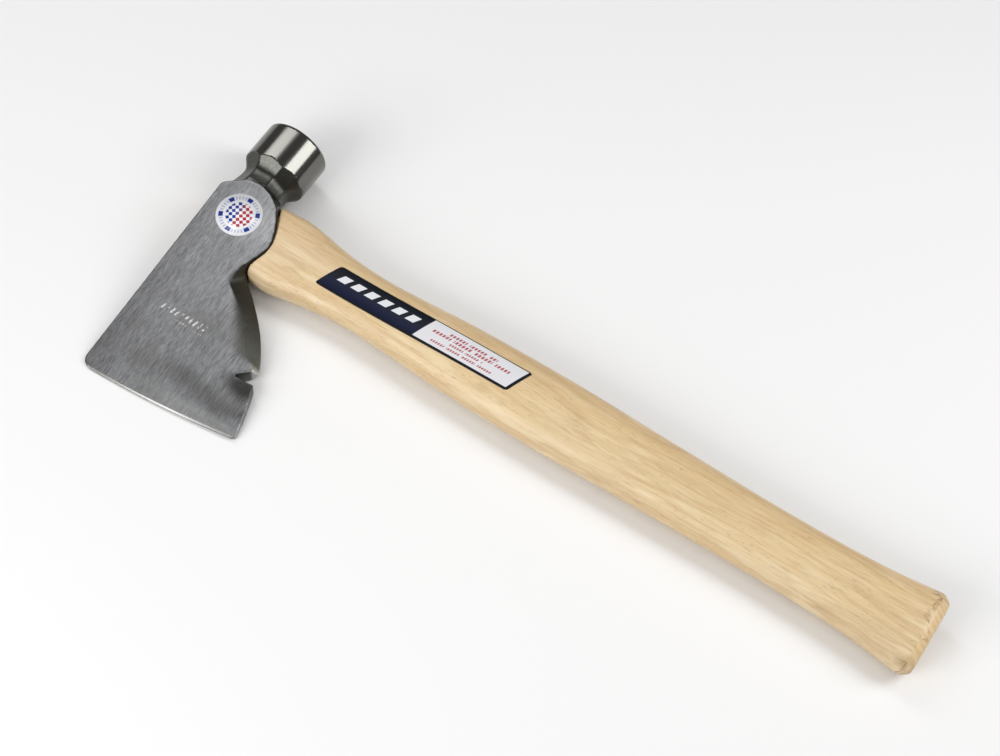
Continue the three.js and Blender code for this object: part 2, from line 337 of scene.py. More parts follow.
def grain_group():
    """Noise drawn out along the axes: brush marks, forging scale, wood fibres, ripples in a printed film."""
    tree, given, result = effect("grain", ("Place", "Stretch", "Detail", "Roughness"), "Value")
    drawn_out = node(tree, "ShaderNodeMapping")
    feed(tree, given["Place"], drawn_out.inputs["Vector"])
    feed(tree, given["Stretch"], drawn_out.inputs["Scale"])
    pattern = node(tree, "ShaderNodeTexNoise")
    feed(tree, drawn_out.outputs["Vector"], pattern.inputs["Vector"])
    feed(tree, 1.0, pattern.inputs["Scale"])
    feed(tree, given["Detail"], pattern.inputs["Detail"])
    feed(tree, given["Roughness"], pattern.inputs["Roughness"])
    feed(tree, pattern.outputs["Fac"], result)
    return tree


def band_group():
    """1 between low and high, with edges as soft as a stamp or a print leaves them."""
    tree, given, result = effect("band", ("Value", "Low", "High", "Soft"), "Mask")
    low, high, soft = given["Low"], given["High"], given["Soft"]
    rise = ramp(tree, given["Value"], minus(tree, low, soft), plus(tree, low, soft), smooth=False)
    fall = ramp(tree, given["Value"], plus(tree, high, soft), minus(tree, high, soft), smooth=False)
    feed(tree, times(tree, rise, fall), result)
    return tree


def dashes_group():
    """1 in the first part of every pitch along a value, and 0 in the gap that follows it."""
    tree, given, result = effect("dashes", ("Value", "Pitch", "Part", "First"), "Mask")
    turns = math_node(tree, "DIVIDE", minus(tree, given["Value"], given["First"]), given["Pitch"])
    feed(tree, math_node(tree, "LESS_THAN", math_node(tree, "FRACT", turns), given["Part"]), result)
    return tree


GRAIN = grain_group()
BAND = band_group()
DASHES = dashes_group()
PRINT_SOFT = 0.06                  # softness of a printed edge, in millimetres


def grain(tree, at, stretch, detail=3, roughness=0.55):
    """Noise with so many marks to the metre along each axis."""
    even = stretch if isinstance(stretch, tuple) else (stretch,) * 3
    return placed(tree, GRAIN, Place=at, Stretch=even, Detail=detail, Roughness=roughness)


def between(tree, value, low, high, soft=PRINT_SOFT):
    return placed(tree, BAND, Value=value, Low=low, High=high, Soft=soft)


def dashes(tree, value, pitch, part, first=0.0):
    return placed(tree, DASHES, Value=value, Pitch=pitch, Part=part, First=first)


def facing(tree, direction, low, high):
    """1 where the skin faces along or against a direction, 0 where it turns away from it."""
    dot = node(tree, "ShaderNodeVectorMath", operation="DOT_PRODUCT")
    feed(tree, node(tree, "ShaderNodeNewGeometry").outputs["Normal"], dot.inputs[0])
    feed(tree, direction, dot.inputs[1])
    return ramp(tree, math_node(tree, "ABSOLUTE", dot.outputs["Value"]), low, high)


GROUND_DARK = (0.182, 0.184, 0.189)
GROUND_LIGHT = (0.575, 0.580, 0.597)
GROUND_STAIN = (0.225, 0.225, 0.218)
SHADE_BAND_DARK = (0.115, 0.117, 0.105)
EDGE_LIGHT = (0.74, 0.74, 0.72)
SLOT_DARK = (0.042, 0.043, 0.036)
BEVEL_DARK = (0.052, 0.052, 0.045)
BEVEL_LIGHT = (0.150, 0.150, 0.134)
BEVEL_GRIT = (0.20, 0.20, 0.18)
BEVEL_HIGHLIGHT = (0.24, 0.24, 0.22)
BEVEL_SHADE = (0.028, 0.028, 0.024)
TIP_HIGHLIGHT = (0.62, 0.62, 0.60)
SHARPENED_AND_HIGHLIGHT = (0.38, 0.38, 0.36)
LAND_SHADE = (0.045, 0.045, 0.040)
FORGED_DARK = (0.018, 0.018, 0.015)
FORGED_LIGHT = (0.118, 0.118, 0.108)
FORGED_GRIT = (0.20, 0.20, 0.185)
POLISHED_DARK = (0.125, 0.123, 0.112)
POLISHED_LIGHT = (0.200, 0.197, 0.182)
DENT_HIGHLIGHT = (0.95, 0.95, 0.93)

FRONT_X = (6 * MM, -15 * MM)           # the brushing is darker towards the blade's front
EAR_X = (0, 26 * MM)                   # and lighter on the ear behind the eye
EAR_Y = (-36 * MM, -6 * MM)
SHADE_BAND_TOP = (-83 * MM, -92.5 * MM)    # a band of painted shade above the sharpened part
SHADE_BAND_FOOT = (-101 * MM, -93.5 * MM)
SHADE_BAND_HEEL = (12 * MM, 34 * MM)
SHADE_BAND_DRIFT = 22 * MM
BRIGHT_Y = (-98.5 * MM, -105 * MM)     # the last stretch above the edge, lighter towards the heel
BRIGHT_X = (0, 50 * MM)
SLOT_HOLLOW = (64.5 * MM, -79 * MM)
SLOT_HOLLOW_HALF = (1 / 60, 1 / 90)
SLOT_UNDER = (-74.5 * MM, -76.5 * MM)
SLOT_WALL = 0.64 * tool_x - 0.77 * tool_y
REAR_SHADE_WIDTH = (2.5 * MM, 9 * MM)         # of the painted shade along the rear bevel, and near the slot
REAR_SHADE_SPREAD = (-40 * MM, -62 * MM)
REAR_SHADE_FOOT = (-68.5 * MM, -64 * MM)
REAR_SHADE_TOP = (-33.5 * MM, -37.5 * MM)
REAR_SHADE_X = 18 * MM
BEVEL_HIGHLIGHT_Y = (-48 * MM, -67 * MM)
BEVEL_SHADE_Y = (-50 * MM, -36 * MM)
BEARD_Y = (-64 * MM, -68.5 * MM)       # below this the rear faces are ground like the cheeks
BEARD_X = (30 * MM, 40 * MM)
TIP_X = (52 * MM, 58 * MM)
TIP_Y = (-64.5 * MM, -68.5 * MM)
TIP_FOOT = (-70.5 * MM, -69.5 * MM)
CHEEK_END_Y = 23.2 * MM
SKIN_Y = (14 * MM, 19 * MM)
TURNED_Y = (34.5 * MM, 35.5 * MM)
TURNED_REACH = (18.75 * MM, 19 * MM)
FACE_Y = (58.5 * MM, 59 * MM)


def height_above_edge(tree, x, y):
    """How far a place lies above the same bowed edge as the solid's."""
    from_middle = minus(tree, x, EDGE_MIDDLE_X)
    part = times(tree, from_middle, 1 / (HEEL_X - EDGE_MIDDLE_X))
    bow = times(tree, inverse(tree, times(tree, part, part)), EDGE_BOW)
    edge = plus(tree, minus(tree, times(tree, from_middle, EDGE_RISE), bow), EDGE_MIDDLE_Y)
    return minus(tree, y, edge)


def punch_marks(tree, at):
    """Two rows of short worn dents across the middle of the upper cheek, of no fixed shape. Millimetres."""
    x, y, z = split(tree, tool_space(tree, 1 / MM))
    lift = minus(tree, y, plus(tree, -63.6, times(tree, x, 0.012)))
    lean = minus(tree, x, times(tree, lift, 0.30))
    worn = grain(tree, at, 430, 2, 0.5)
    tall = times(tree, between(tree, lift, -1.6, 1.7, 0.5), between(tree, lean, 1.0, 29.5, 0.3))
    tall = times(tree, tall, dashes(tree, lean, 2.9, 0.40, 1.0), ramp(tree, worn, 0.42, 0.54))
    low = times(tree, between(tree, lift, -4.2, -3.2, 0.4), between(tree, lean, 7.0, 29.5, 0.3))
    low = times(tree, low, dashes(tree, lean, 1.7, 0.55, 7.0), ramp(tree, worn, 0.46, 0.64), 0.6)
    on_upper_cheek = math_node(tree, "GREATER_THAN", z, 0.0)
    return times(tree, math_node(tree, "MAXIMUM", tall, low), on_upper_cheek)


def rear_painted_shade(tree, x, y):
    """Painted shade on the cheek along the rear bevel, in the bevel's dark colour, wider towards the nail
    slot.
    """
    depth = plus(tree, times(tree, minus(tree, x, REAR_LINE[0]), REAR_TURN[0]),
                 times(tree, minus(tree, y, REAR_LINE[1]), REAR_TURN[1]))
    spread = times(tree, ramp(tree, y, *REAR_SHADE_SPREAD, smooth=False), REAR_SHADE_WIDTH[1] - REAR_SHADE_WIDTH[0])
    shade = ramp(tree, math_node(tree, "DIVIDE", depth, plus(tree, REAR_SHADE_WIDTH[0], spread)), -1.2, -0.10)
    above_slot = times(tree, ramp(tree, y, *REAR_SHADE_FOOT), ramp(tree, y, *REAR_SHADE_TOP))
    return times(tree, shade, above_slot, math_node(tree, "GREATER_THAN", x, REAR_SHADE_X))


def slot_shade(tree, x, y):
    """Painted shade under the mouth of the nail slot."""
    across = times(tree, minus(tree, x, SLOT_HOLLOW[0]), 1 / SLOT_HOLLOW_HALF[0])
    down = times(tree, minus(tree, y, SLOT_HOLLOW[1]), 1 / SLOT_HOLLOW_HALF[1])
    far = math_node(tree, "SQRT", plus(tree, times(tree, across, across), times(tree, down, down)))
    return times(tree, ramp(tree, far, 1.0, 0.25), ramp(tree, y, *SLOT_UNDER))


def ground_colour(tree, x, y, tone, clouds):
    """Steel brushed along the blade, with stains, a band of painted shade, a brighter stretch by the edge
    and painted shade under the nail slot.
    """
    colour = mix_colour(tree, ramp(tree, tone, 0.35, 0.67, smooth=False), GROUND_DARK, GROUND_LIGHT)
    colour = mix_colour(tree, times(tree, ramp(tree, clouds, 0.46, 0.72), 0.35), colour, GROUND_STAIN)
    front = inverse(tree, times(tree, ramp(tree, x, *FRONT_X), 0.24))
    ear = plus(tree, 1.0, times(tree, ramp(tree, y, *EAR_Y), ramp(tree, x, *EAR_X), 0.22))
    colour = mix_colour(tree, 1.0, colour, grey(tree, times(tree, front, ear)), "MULTIPLY")
    # Painted shade: a dark band above the sharpened part that wanders with the clouds and deepens towards
    # the heel.
    drift = plus(tree, y, times(tree, minus(tree, clouds, 0.5), SHADE_BAND_DRIFT))
    shade_band = times(tree, ramp(tree, drift, *SHADE_BAND_TOP), ramp(tree, drift, *SHADE_BAND_FOOT))
    shade_band = times(tree, shade_band, plus(tree, 0.16, times(tree, ramp(tree, x, *SHADE_BAND_HEEL), 0.34)))
    colour = mix_colour(tree, shade_band, colour, SHADE_BAND_DARK)
    bright = times(tree, ramp(tree, y, *BRIGHT_Y), ramp(tree, x, *BRIGHT_X), 0.30)
    colour = mix_colour(tree, bright, colour, EDGE_LIGHT)
    # Painted shade under the nail slot's mouth.
    return mix_colour(tree, times(tree, slot_shade(tree, x, y), 0.86), colour, SLOT_DARK)


def bevel_colour(tree, y, tone, grit):
    """The rear bevel's forged skin, with painted shade in its upper corner and a painted highlight towards
    its tip.
    """
    colour = mix_colour(tree, tone, BEVEL_DARK, BEVEL_LIGHT)
    colour = mix_colour(tree, times(tree, grit, 0.35), colour, BEVEL_GRIT)
    # Painted highlight lower down the bevel, and painted shade in its upper corner.
    colour = mix_colour(tree, times(tree, ramp(tree, y, *BEVEL_HIGHLIGHT_Y), 0.45), colour, BEVEL_HIGHLIGHT)
    return mix_colour(tree, times(tree, ramp(tree, y, *BEVEL_SHADE_Y), 0.50), colour, BEVEL_SHADE)


def rear_colour(tree, x, y, bevel, ground):
    """The narrow faces: bevel skin, ground steel below the nail slot, and a painted highlight on the tip
    above it.
    """
    slot_wall = facing(tree, SLOT_WALL, 0.70, 0.85)
    beard = times(tree, ramp(tree, y, *BEARD_Y), inverse(tree, slot_wall), ramp(tree, x, *BEARD_X), 0.75)
    # Painted highlight on the tip of the rear bevel above the nail slot.
    tip = times(tree, ramp(tree, y, *TIP_Y), ramp(tree, y, *TIP_FOOT), ramp(tree, x, *TIP_X), 0.8)
    return mix_colour(tree, tip, mix_colour(tree, beard, bevel, ground), TIP_HIGHLIGHT)


def head_material():
    material, tree, shader = new_material("forged_steel")
    at = tool_space(tree)
    x, y, z = split(tree, at)
    brushing = grain(tree, at, (2100, 50, 2100), 4, 0.62)
    scratches = grain(tree, at, (3600, 38, 3600), 2, 0.5)
    streaks = grain(tree, at, (420, 22, 420))
    clouds = grain(tree, at, 42, 3, 0.5)
    lumps = grain(tree, at, 260, 4, 0.62)
    grit = ramp(tree, grain(tree, at, 900, 3, 0.6), 0.55, 0.75)
    tone = plus(tree, times(tree, brushing, 0.58), times(tree, streaks, 0.20))
    tone = plus(tree, tone, times(tree, scratches, 0.22))
    cheek = facing(tree, tool_z, 0.90, 0.985)

    bevel = bevel_colour(tree, y, tone, grit)
    # Painted shade: the cheek darkens into the bevel's colour along the rear bevel.
    ground = mix_colour(tree, rear_painted_shade(tree, x, y), ground_colour(tree, x, y, tone, clouds), bevel)
    colour = mix_colour(tree, cheek, rear_colour(tree, x, y, bevel, ground), ground)
    above_edge = height_above_edge(tree, x, y)
    # The sharpened bevel is lighter ground steel and partly a painted highlight.
    sharpened = ramp(tree, above_edge, BEVEL_HIGH + 0.15 * MM, BEVEL_HIGH - 0.1 * MM)
    colour = mix_colour(tree, times(tree, sharpened, 0.8), colour, SHARPENED_AND_HIGHLIGHT)
    # Painted shade on the edge's narrow land, the faces that look along the blade towards the edge.
    land = times(tree, facing(tree, tool_y, 0.75, 0.92), ramp(tree, above_edge, 2.5 * MM, 1.5 * MM))
    colour = mix_colour(tree, land, colour, LAND_SHADE)

    on_cheek = times(tree, cheek, math_node(tree, "LESS_THAN", y, CHEEK_END_Y))
    neck = times(tree, ramp(tree, y, *SKIN_Y), inverse(tree, on_cheek))
    forged = mix_colour(tree, clouds, FORGED_DARK, FORGED_LIGHT)
    forged = mix_colour(tree, times(tree, grit, 0.5), forged, FORGED_GRIT)
    colour = mix_colour(tree, neck, colour, forged)
    reach = math_node(tree, "SQRT", plus(tree, times(tree, x, x), times(tree, z, z)))
    poll = times(tree, ramp(tree, y, *TURNED_Y), ramp(tree, reach, *TURNED_REACH))
    poll = math_node(tree, "MAXIMUM", poll, ramp(tree, y, *FACE_Y))
    colour = mix_colour(tree, poll, colour, mix_colour(tree, scratches, POLISHED_DARK, POLISHED_LIGHT))
    marks = punch_marks(tree, at)
    # The punch marks are painted near white, a painted highlight where the dents catch the light.
    feed(tree, mix_colour(tree, marks, colour, DENT_HIGHLIGHT), shader.inputs["Base Color"])

    shader.inputs["Metallic"].default_value = 1.0
    rough = plus(tree, plus(tree, 0.36, times(tree, brushing, 0.18)), times(tree, neck, -0.12))
    rough = mix_value(tree, poll, rough, plus(tree, 0.08, times(tree, scratches, 0.16)))
    feed(tree, rough, shader.inputs["Roughness"])
    brushed = plus(tree, brushing, times(tree, scratches, 0.6))
    relief = mix_value(tree, neck, brushed, times(tree, lumps, 6.0))
    relief = minus(tree, times(tree, relief, inverse(tree, poll)), times(tree, marks, 5.0))
    feed(tree, bump(tree, relief, 0.5, 0.05 * MM), shader.inputs["Normal"])
    return material


head_bm = head_shape()
head_skin = BVHTree.FromBMesh(head_bm)
add_piece("forged_head", head_bm, ["head"], head_material())

# ---- Handle -----------------------------------------------------------------------------------------
# One straight piece of hickory, turned oval, sanded and clear lacquered, with a flared butt that is
# chamfered all round. Its tongue fills the eye and its shoulders bear on the underside of the head.

HANDLE_VOXEL = 0.85 * MM
BUTT_X = 421 * MM                      # the butt's chamfer starts here
HANDLE_ROUNDS = 2                      # rounds of smoothing, for the whole skin and for the butt's chamfer
BUTT_ROUNDS = 5
POLL_SIDE_Y = (-16 * MM, 20 * MM)
HEAD_END_X = (75 * MM, 35 * MM)
TONGUE_END_X = (-14 * MM, -14.6 * MM)
CUT_WOOD_X = (423.6 * MM, 424.6 * MM)
CHECKED_X = (416.5 * MM, 422.5 * MM)
END_FACE_X = (427.8 * MM, 428.6 * MM)
RING_MIDDLE = (0, -34 * MM, 12 * MM)
STAIN_X = (413 * MM, 423.5 * MM)
STAIN_Y = (16.5 * MM, 22.5 * MM)

WOOD_LOW_SIDE = (0.672, 0.515, 0.300)
WOOD_POLL_SIDE = (0.690, 0.485, 0.250)
WOOD_LOW_HIGHLIGHT = (0.72, 0.570, 0.390)
WOOD_HEAD_SHADOW = (0.63, 0.43, 0.255)
WOOD_AMBER = (0.72, 0.515, 0.26)
WOOD_RING = (0.55, 0.36, 0.175)
WOOD_FIBRE = (0.88, 0.72, 0.49)
WOOD_STREAK = (0.48, 0.31, 0.15)
WOOD_PORE = (0.30, 0.18, 0.09)
WOOD_SMUDGE = (0.48, 0.315, 0.17)
SAPWOOD = (0.86, 0.73, 0.49)
END_DARK = (0.67, 0.46, 0.235)
END_LIGHT = (0.87, 0.645, 0.36)
CORNER_DARK = (0.33, 0.20, 0.09)
CHECK_DARK = (0.22, 0.115, 0.045)


def handle_shape():
    bm = remeshed(merged_copy("handle"), HANDLE_VOXEL)
    soften(bm, bm.verts[:], HANDLE_ROUNDS)
    soften(bm, [v for v in bm.verts if v.co.x > BUTT_X], BUTT_ROUNDS)
    return bm


def drying_checks(tree, at, x):
    """Small dark cracks where the butt's end grain has dried, and on the tongue's end."""
    shaken = node(tree, "ShaderNodeTexNoise")
    feed(tree, at, shaken.inputs["Vector"])
    feed(tree, 150, shaken.inputs["Scale"])
    bent = node(tree, "ShaderNodeVectorMath", operation="MULTIPLY_ADD")
    feed(tree, shaken.outputs["Color"], bent.inputs[0])
    feed(tree, (6 * MM, 6 * MM, 6 * MM), bent.inputs[1])
    feed(tree, at, bent.inputs[2])
    cells = node(tree, "ShaderNodeTexVoronoi", feature="DISTANCE_TO_EDGE")
    feed(tree, bent.outputs[0], cells.inputs["Vector"])
    feed(tree, 105, cells.inputs["Scale"])
    crack = ramp(tree, cells.outputs["Distance"], 0.060, 0.0)
    open_here = ramp(tree, grain(tree, at, 75, 2, 0.5), 0.46, 0.58)
    near_end = math_node(tree, "MAXIMUM", ramp(tree, x, *CHECKED_X), ramp(tree, x, *TONGUE_END_X))
    fainter = minus(tree, 0.8, times(tree, ramp(tree, x, *END_FACE_X), 0.5))
    return times(tree, crack, open_here, near_end, fainter)


def figured_wood(tree, at, x, y, fibres, pores):
    """Long grain of hickory: growth figure, fibres, dark streaks, pores, and pale sapwood, with a painted
    highlight and a painted shadow near the head.
    """
    sway = node(tree, "ShaderNodeCombineXYZ")
    feed(tree, times(tree, grain(tree, at, (7, 20, 20), 2, 0.5), 30 * MM), sway.inputs["Y"])
    swayed = node(tree, "ShaderNodeVectorMath", operation="ADD")
    feed(tree, at, swayed.inputs[0])
    feed(tree, sway.outputs[0], swayed.inputs[1])
    figure = grain(tree, swayed.outputs[0], (8, 330, 110))
    broad = grain(tree, at, (9, 34, 34), 2, 0.5)
    streaks = grain(tree, at, (90, 800, 800), 2, 0.5)
    smudges = grain(tree, at, (38, 150, 150), 3, 0.6)
    sapwood = grain(tree, at, (26, 240, 240), 2, 0.5)
    poll_side = ramp(tree, y, *POLL_SIDE_Y)
    head_end = ramp(tree, x, *HEAD_END_X)
    uneven = inverse(tree, times(tree, poll_side, 0.45))
    wood = mix_colour(tree, poll_side, WOOD_LOW_SIDE, WOOD_POLL_SIDE)
    for tint, part in (
            # Painted highlight near the head on the side towards the blade, and painted shadow near the head
            # on the poll side.
            (WOOD_LOW_HIGHLIGHT, times(tree, head_end, inverse(tree, poll_side), 0.7)),
            (WOOD_HEAD_SHADOW, times(tree, poll_side, head_end, 0.6)),
            (WOOD_AMBER, times(tree, ramp(tree, broad, 0.38, 0.66), 0.50)),
            (WOOD_RING, times(tree, ramp(tree, figure, 0.46, 0.60), 0.46)),
            (WOOD_FIBRE, times(tree, ramp(tree, fibres, 0.42, 0.70), 0.32)),
            (WOOD_STREAK, times(tree, ramp(tree, streaks, 0.58, 0.72), 0.38)),
            (WOOD_PORE, times(tree, pores, ramp(tree, broad, 0.40, 0.60), 0.42)),
            (WOOD_SMUDGE, times(tree, ramp(tree, smudges, 0.55, 0.70), uneven, 0.42)),
            (SAPWOOD, times(tree, ramp(tree, sapwood, 0.53, 0.68), uneven, 0.40))):
        wood = mix_colour(tree, part, wood, tint)
    return wood


def end_grain(tree, at):
    """Growth rings round a middle that lies outside the handle, roughened by the saw."""
    from_middle = node(tree, "ShaderNodeMapping")
    feed(tree, at, from_middle.inputs["Vector"])
    feed(tree, RING_MIDDLE, from_middle.inputs["Location"])
    rings = node(tree, "ShaderNodeTexWave", wave_type="RINGS", rings_direction="X")
    feed(tree, from_middle.outputs["Vector"], rings.inputs["Vector"])
    feed(tree, 100, rings.inputs["Scale"])
    feed(tree, 1.6, rings.inputs["Distortion"])
    feed(tree, 3, rings.inputs["Detail"])
    sawn = mix_value(tree, 0.45, rings.outputs["Fac"], grain(tree, at, (200, 900, 900), 3, 0.6))
    return mix_colour(tree, sawn, END_DARK, END_LIGHT)


def handle_material():
    material, tree, shader = new_material("hickory")
    at = tool_space(tree)
    x, y, _ = split(tree, at)
    fibres = grain(tree, at, (48, 1500, 1500), 3, 0.6)
    pores = ramp(tree, grain(tree, at, (260, 1500, 1500), 1, 0.5), 0.66, 0.74)
    cut_wood = math_node(tree, "MAXIMUM", ramp(tree, x, *CUT_WOOD_X), ramp(tree, x, *TONGUE_END_X))
    wood = figured_wood(tree, at, x, y, fibres, pores)
    wood = mix_colour(tree, times(tree, cut_wood, 0.75), wood, end_grain(tree, at))
    corner = times(tree, ramp(tree, x, *STAIN_X), ramp(tree, math_node(tree, "ABSOLUTE", y), *STAIN_Y))
    corner = times(tree, corner, ramp(tree, grain(tree, at, 120, 2, 0.5), 0.36, 0.62), 0.55)
    wood = mix_colour(tree, corner, wood, CORNER_DARK)
    checks = drying_checks(tree, at, x)
    feed(tree, mix_colour(tree, checks, wood, CHECK_DARK), shader.inputs["Base Color"])
    shader.inputs["Roughness"].default_value = 0.5
    shader.inputs["Coat Weight"].default_value = 0.25
    shader.inputs["Coat Roughness"].default_value = 0.22
    relief = minus(tree, fibres, plus(tree, pores, times(tree, checks, 6.0)))
    feed(tree, bump(tree, relief, 0.25, 0.04 * MM), shader.inputs["Normal"])
    return material


handle_bm = handle_shape()
handle_skin = BVHTree.FromBMesh(handle_bm)
add_piece("hickory_handle", handle_bm, ["handle"], handle_material())

# ---- Wedges -----------------------------------------------------------------------------------------
# A hardwood wedge opens the tongue along the eye, and two rolled steel wedges are driven across it. Their
# ends are filed level with the wood.

WOOD_WEDGE_EASE = 0.1 * MM
STEEL_WEDGE_EASE = 0.15 * MM
WEDGE_WOOD_DARK = (0.36, 0.21, 0.095)
WEDGE_WOOD_LIGHT = (0.60, 0.40, 0.21)
WEDGE_STEEL_DARK = (0.10, 0.10, 0.098)
WEDGE_STEEL_LIGHT = (0.42, 0.42, 0.41)


def eased_shape(node_name, width):
    """A small CAD solid with its flat faces made whole again and its edges taken off."""
    bm = merged_copy(node_name)
    bmesh.ops.dissolve_limit(bm, angle_limit=math.radians(2), verts=bm.verts, edges=bm.edges)
    bmesh.ops.bevel(
        bm, geom=bm.edges[:], affect="EDGES", offset=width, segments=2, profile=0.5, material=-1,
        clamp_overlap=True)
    return bm


def wedge_wood_material():
    material, tree, shader = new_material("wedge_wood")
    fibres = grain(tree, tool_space(tree), (60, 1400, 1400), 3, 0.6)
    feed(tree, mix_colour(tree, fibres, WEDGE_WOOD_DARK, WEDGE_WOOD_LIGHT), shader.inputs["Base Color"])
    shader.inputs["Roughness"].default_value = 0.7
    feed(tree, bump(tree, fibres, 0.4, 0.1 * MM), shader.inputs["Normal"])
    return material


def wedge_steel_material():
    material, tree, shader = new_material("wedge_steel")
    scale = grain(tree, tool_space(tree), 700, 4, 0.6)
    feed(tree, mix_colour(tree, scale, WEDGE_STEEL_DARK, WEDGE_STEEL_LIGHT), shader.inputs["Base Color"])
    shader.inputs["Metallic"].default_value = 1.0
    feed(tree, plus(tree, 0.35, times(tree, scale, 0.3)), shader.inputs["Roughness"])
    feed(tree, bump(tree, scale, 0.3, 0.1 * MM), shader.inputs["Normal"])
    return material


add_piece("hardwood_wedge", eased_shape("wood_wedge", WOOD_WEDGE_EASE), ["wood_wedge"],
          wedge_wood_material(), smooth=False)
wedge_steel = wedge_steel_material()
for number in (1, 2):
    add_piece(f"cross_wedge_{number}", eased_shape(f"steel_wedge_{number}", STEEL_WEDGE_EASE),
              [f"steel_wedge_{number}"], wedge_steel, smooth=False)

# ---- Handle label -----------------------------------------------------------------------------------
# A long printed film with slanted ends, stuck to the side of the handle: a navy panel with a row of white
# blocks and a white panel with rows of red dashes, inside a black line.

LABEL_LEFT = 60.2 * MM
LABEL_RIGHT = 180.0 * MM
LABEL_LOW = -8.3 * MM
LABEL_HIGH = 7.8 * MM
LABEL_WIDTH = LABEL_HIGH - LABEL_LOW
LABEL_MIDDLE_X = (LABEL_LEFT + LABEL_RIGHT) / 2
LABEL_SLANT = 6.6 * MM
LABEL_CORNER = 1.5 * MM
LABEL_TURN = 0.013
FILM_LIFT = 0.16 * MM
FILM_THICK = 0.10 * MM
ABOVE_TOOL = 50 * MM

NAVY_LOW = (0.005, 0.008, 0.032)       # the navy film, and painted shade where it turns round the handle
NAVY_SHADE = (0.002, 0.004, 0.010)
BLOCK_WHITE = (0.72, 0.73, 0.76)
PANEL_WHITE = (0.70, 0.70, 0.725)
DASH_RED = (0.38, 0.035, 0.05)
LINE_BLACK = (0.006, 0.007, 0.012)
BLOCKS_ACROSS = (7.5, 11.9)            # the print, in millimetres across and along the label
BLOCKS_ALONG = (4.0, 53.0)
BLOCK_PITCH = 8.6
BLOCK_LEAN = 0.25
PANEL_START = (60.1, 60.3)
LINE_LOW = 1.5
LINE_HIGH = 0.45
LINE_ALONG = (0.7, 117.9)
RED_ROWS = (                           # from, to across, from, to along, and pitch
    (11.2, 12.9, 73, 102, 1.9),
    (8.6, 10.4, 65, 112, 2.0),
    (6.1, 7.4, 78, 98, 1.5),
    (3.4, 4.7, 69, 108, 1.5))
DASHES_IN_GROUP = 6.4


def laid_film(bm, skin):
    """Drops a flat closed outline of faces onto the skin below it and gives it the film's thickness."""
    for v in bm.verts:
        above = Vector((v.co.x, v.co.y, ABOVE_TOOL))
        spot, normal, _, _ = skin.ray_cast(above, Vector((0, 0, -1)))
        v.co = spot + normal * FILM_LIFT
    bmesh.ops.recalc_face_normals(bm, faces=bm.faces)
    bmesh.ops.solidify(bm, geom=bm.faces[:], thickness=FILM_THICK)
    bmesh.ops.recalc_face_normals(bm, faces=bm.faces)
    return bm


def label_shape():
    bm = bmesh.new()
    bmesh.ops.create_grid(bm, x_segments=118, y_segments=30, size=0.5)
    for v in bm.verts:
        part = v.co.y + 0.5
        short = max(LABEL_CORNER - min(part, 1 - part) * LABEL_WIDTH, 0)
        inset = LABEL_CORNER - math.sqrt(LABEL_CORNER ** 2 - short ** 2)
        x = LABEL_MIDDLE_X + v.co.x * (LABEL_RIGHT - LABEL_LEFT - 2 * inset) + LABEL_SLANT * part
        y = LABEL_LOW + part * LABEL_WIDTH + LABEL_TURN * (x - LABEL_MIDDLE_X)
        v.co = (x, y, 0)
    return laid_film(bm, handle_skin)


def label_material():
    material, tree, shader = new_material("label_print")
    x, y, _ = split(tree, tool_space(tree, 1 / MM))
    turn = times(tree, minus(tree, x, LABEL_MIDDLE_X / MM), LABEL_TURN)
    across = minus(tree, minus(tree, y, turn), LABEL_LOW / MM)
    along = minus(tree, minus(tree, x, times(tree, across, LABEL_SLANT / LABEL_WIDTH)), LABEL_LEFT / MM)
    # The navy is darkened across the label by painted shade as the film turns round the handle.
    navy = mix_colour(tree, ramp(tree, across, 4.0, 11.0), NAVY_LOW, NAVY_SHADE)
    leaning = minus(tree, along, times(tree, across, BLOCK_LEAN))
    blocks = times(tree, between(tree, across, *BLOCKS_ACROSS), between(tree, leaning, *BLOCKS_ALONG),
                   dashes(tree, leaning, BLOCK_PITCH, 0.62, BLOCKS_ALONG[0]))
    print_colour = mix_colour(tree, blocks, navy, BLOCK_WHITE)
    printed = 0.0
    for low, high, start, end, pitch in RED_ROWS:
        row = times(tree, between(tree, across, low, high), between(tree, along, start, end),
                    dashes(tree, along, pitch, 0.66, start),
                    dashes(tree, along, pitch * DASHES_IN_GROUP, 0.85, start))
        printed = math_node(tree, "MAXIMUM", printed, row)
    panel = mix_colour(tree, times(tree, printed, 0.9), PANEL_WHITE, DASH_RED)
    print_colour = mix_colour(tree, ramp(tree, along, *PANEL_START, smooth=False), print_colour, panel)
    inside = times(tree, between(tree, across, LINE_LOW, LABEL_WIDTH / MM - LINE_HIGH),
                   between(tree, along, *LINE_ALONG))
    feed(tree, mix_colour(tree, inside, LINE_BLACK, print_colour), shader.inputs["Base Color"])
    shader.inputs["Roughness"].default_value = 0.38
    shader.inputs["Specular IOR Level"].default_value = 0.2
    ripple = grain(tree, tool_space(tree), 160, 2, 0.5)
    feed(tree, bump(tree, ripple, 0.15, 0.2 * MM), shader.inputs["Normal"])
    return material


add_piece("printed_label", label_shape(), ["handle_label"], label_material())

# ---- Cheek sticker ----------------------------------------------------------------------------------
# A round printed film, one inch across, on the flat of the cheek beside the eye: white, with a dashed blue
# ring round a disc of blue and red checks.

